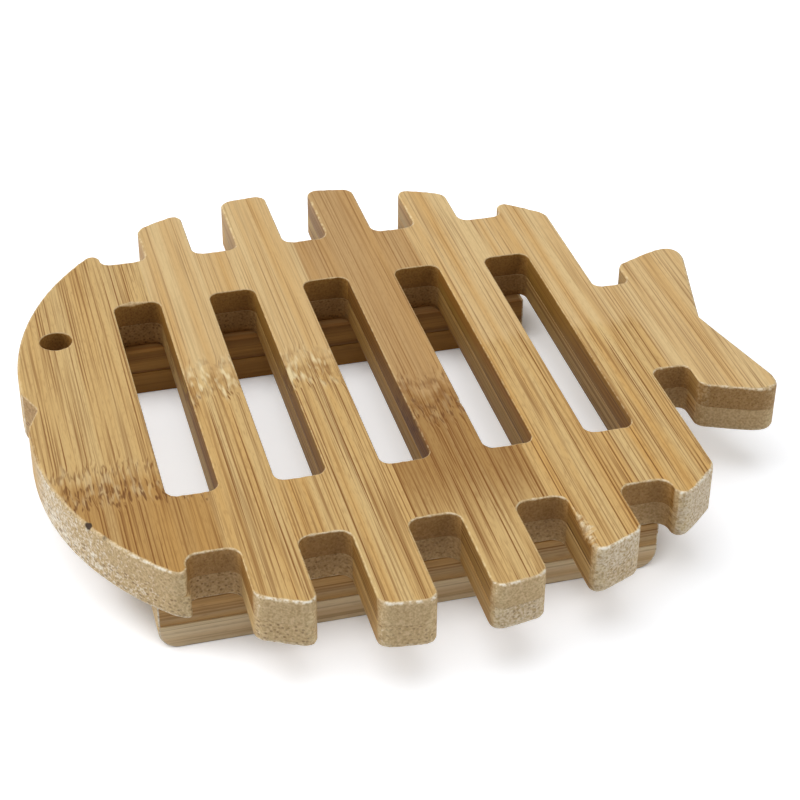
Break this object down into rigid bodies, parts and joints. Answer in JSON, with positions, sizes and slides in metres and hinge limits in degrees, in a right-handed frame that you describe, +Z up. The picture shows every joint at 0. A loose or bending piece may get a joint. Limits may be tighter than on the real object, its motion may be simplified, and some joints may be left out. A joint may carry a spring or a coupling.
{
  "type": "soap dish",
  "caption": "Flat fish-shaped soap dish in laminated bamboo, slotted right through to drain and notched along its edges, standing on glued runners.",
  "frame": {"origin": "middle of the footprint's box, on the surface that the runners stand on", "axes": "+Z up, +X from the head to the tail, +Y across the dish towards the side with the eye"},
  "size_m": [0.1122, 0.1132, 0.016],
  "materials": {
    "bamboo_plate": "sanded natural bamboo, fibre across the dish",
    "bamboo_runner": "sanded natural bamboo, fibre along the dish"
  },
  "bodies": {
    "root": {"top_head_strip": "bamboo_plate", "top_shoulder_strip": "bamboo_plate", "top_middle_strip": "bamboo_plate", "top_flank_strip": "bamboo_plate", "top_tail_strip": "bamboo_plate", "lower_snout_strip": "bamboo_plate", "lower_gill_strip": "bamboo_plate", "lower_shoulder_strip": "bamboo_plate", "lower_middle_strip": "bamboo_plate", "lower_flank_strip": "bamboo_plate", "lower_tail_strip": "bamboo_plate", "front_runner_upper_lath": "bamboo_runner", "front_runner_lower_lath": "bamboo_runner", "rear_runner_upper_lath": "bamboo_runner", "rear_runner_lower_lath": "bamboo_runner"}
  },
  "joints": []
}
